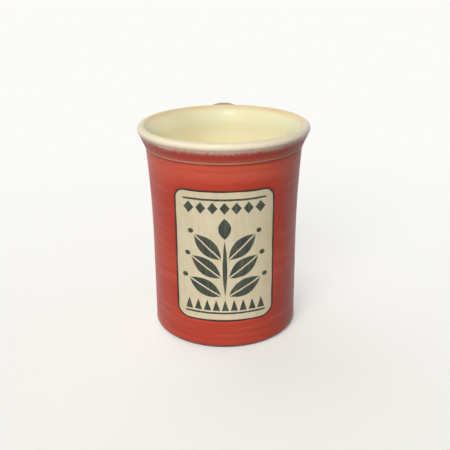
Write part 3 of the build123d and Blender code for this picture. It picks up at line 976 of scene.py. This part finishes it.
# Floor, light and camera.
# A plain pale paper floor and backdrop. Broad soft lights stand in front, above and behind, two narrow ones
# reach into the mouth, a small lamp is mirrored in the glaze, and the camera looks down from above the lip.
paper_reach = 6.0
lamp_distance = 1.4
scene = bpy.context.scene
scene.view_settings.view_transform = "Standard"


def seen(tree):
    """1 for what the camera sees, straight or in a gloss or through glass, and 0 for all other light."""
    rays = add(tree, "ShaderNodeLightPath").outputs
    direct = add(tree, "ShaderNodeMath", [rays["Is Camera Ray"], rays["Is Glossy Ray"]], operation="MAXIMUM")
    return add(tree, "ShaderNodeMath", [direct, rays["Is Transmission Ray"]], operation="MAXIMUM")


# Matt white paper: pale to the camera and to the glaze, and it keeps the soft shadow of the cup.
paper, tree, coords = new_material("matt white paper")
# It is painted lighter away from the cup's front, as light across the paper, and glows brighter by itself
# behind the cup than before it, which fades the cup's shadow there.
depth = add(tree, "ShaderNodeVectorMath", [coords, (0, -0.2, 0)], operation="DISTANCE")
white = layered(tree, "#F6F5F0", (depth, 0.1, 0.56, 1, "#FDFCF8"))
back = add(tree, "ShaderNodeSeparateXYZ", [coords]).outputs[1]
back = add(tree, "ShaderNodeMapRange", [back, -0.02, 0.07, 0.3, 0.74], interpolation_type="SMOOTHSTEP")
lit = add(tree, "ShaderNodeBsdfDiffuse", {"Color": white})
glow = add(tree, "ShaderNodeEmission", {"Color": white})
pale = add(tree, "ShaderNodeMixShader", [back, lit, glow])
bounce = add(tree, "ShaderNodeBsdfDiffuse", {"Color": linear("#4A4A48")})
mixed = add(tree, "ShaderNodeMixShader", [seen(tree), bounce, pale])
add(tree, "ShaderNodeOutputMaterial", [mixed])
sides = ((-1, -1), (1, -1), (1, 1), (-1, 1))
paper_floor = placed("paper_floor", [(x * paper_reach, y * paper_reach, 0) for x, y in sides], [(0, 1, 2, 3)])
paper_floor.data.materials.append(paper)

world = bpy.data.worlds.new("soft studio")
scene.world = world
world.use_nodes = True
tree = world.node_tree
tree.nodes.clear()
sky = add(tree, "ShaderNodeBackground", {"Color": linear("#FAFAF8"), "Strength": 0.03})
backdrop = add(tree, "ShaderNodeBackground", {"Color": linear("#FCFBF7")})
studio = add(tree, "ShaderNodeMixShader", [seen(tree), sky, backdrop])
add(tree, "ShaderNodeOutputWorld", [studio])


def lamp(name, kind, azimuth, elevation, aim=(0, 0, cup_height / 2), **settings):
    """A soft lamp that looks at a point of the cup, from degrees left of the camera and above the floor."""
    light = bpy.data.lights.new(name, kind)
    for setting, value in settings.items():
        setattr(light, setting, value)
    holder = bpy.data.objects.new(name, light)
    holder.visible_glossy = kind == "AREA"
    holder.visible_diffuse = kind != "AREA"
    scene.collection.objects.link(holder)
    tilt = Euler((radians(90 - elevation), 0, radians(-azimuth)))
    holder.rotation_euler = tilt
    holder.location = Vector(aim) * MM + tilt.to_matrix() @ Vector((0, 0, lamp_distance))


lamp("front_light", "SUN", 16, 33, energy=2.85, angle=radians(36))
lamp("high_light", "SUN", 12, 58, energy=0.75, angle=radians(50))
lamp("back_light", "SUN", 156, 50, energy=0.95, angle=radians(60))
lamp("mouth_light", "SPOT", -75, 48, aim=(-33, 8, 78), energy=38, spot_size=radians(2.2), spot_blend=1)
lamp("mouth_left_light", "SPOT", 75, 48, aim=(33, 8, 78), energy=15, spot_size=radians(2.2), spot_blend=1)
lamp("highlight_lamp", "AREA", 11, 57, energy=2.6, size=0.3)

camera = bpy.data.cameras.new("camera")
camera.lens = 59.72
camera.sensor_width = 36
camera.dof.use_dof = False
viewer = bpy.data.objects.new("camera", camera)
scene.collection.objects.link(viewer)
eye = Vector((0.0002, -0.3562, 0.1886))
aim = Vector((0.0002, 0, 0.05135))
roll = radians(-0.49)
facing = (eye - aim).to_track_quat("Z", "Y").to_matrix().to_4x4()
viewer.matrix_world = Matrix.Translation(eye) @ facing @ Matrix.Rotation(roll, 4, "Z")
scene.camera = viewer
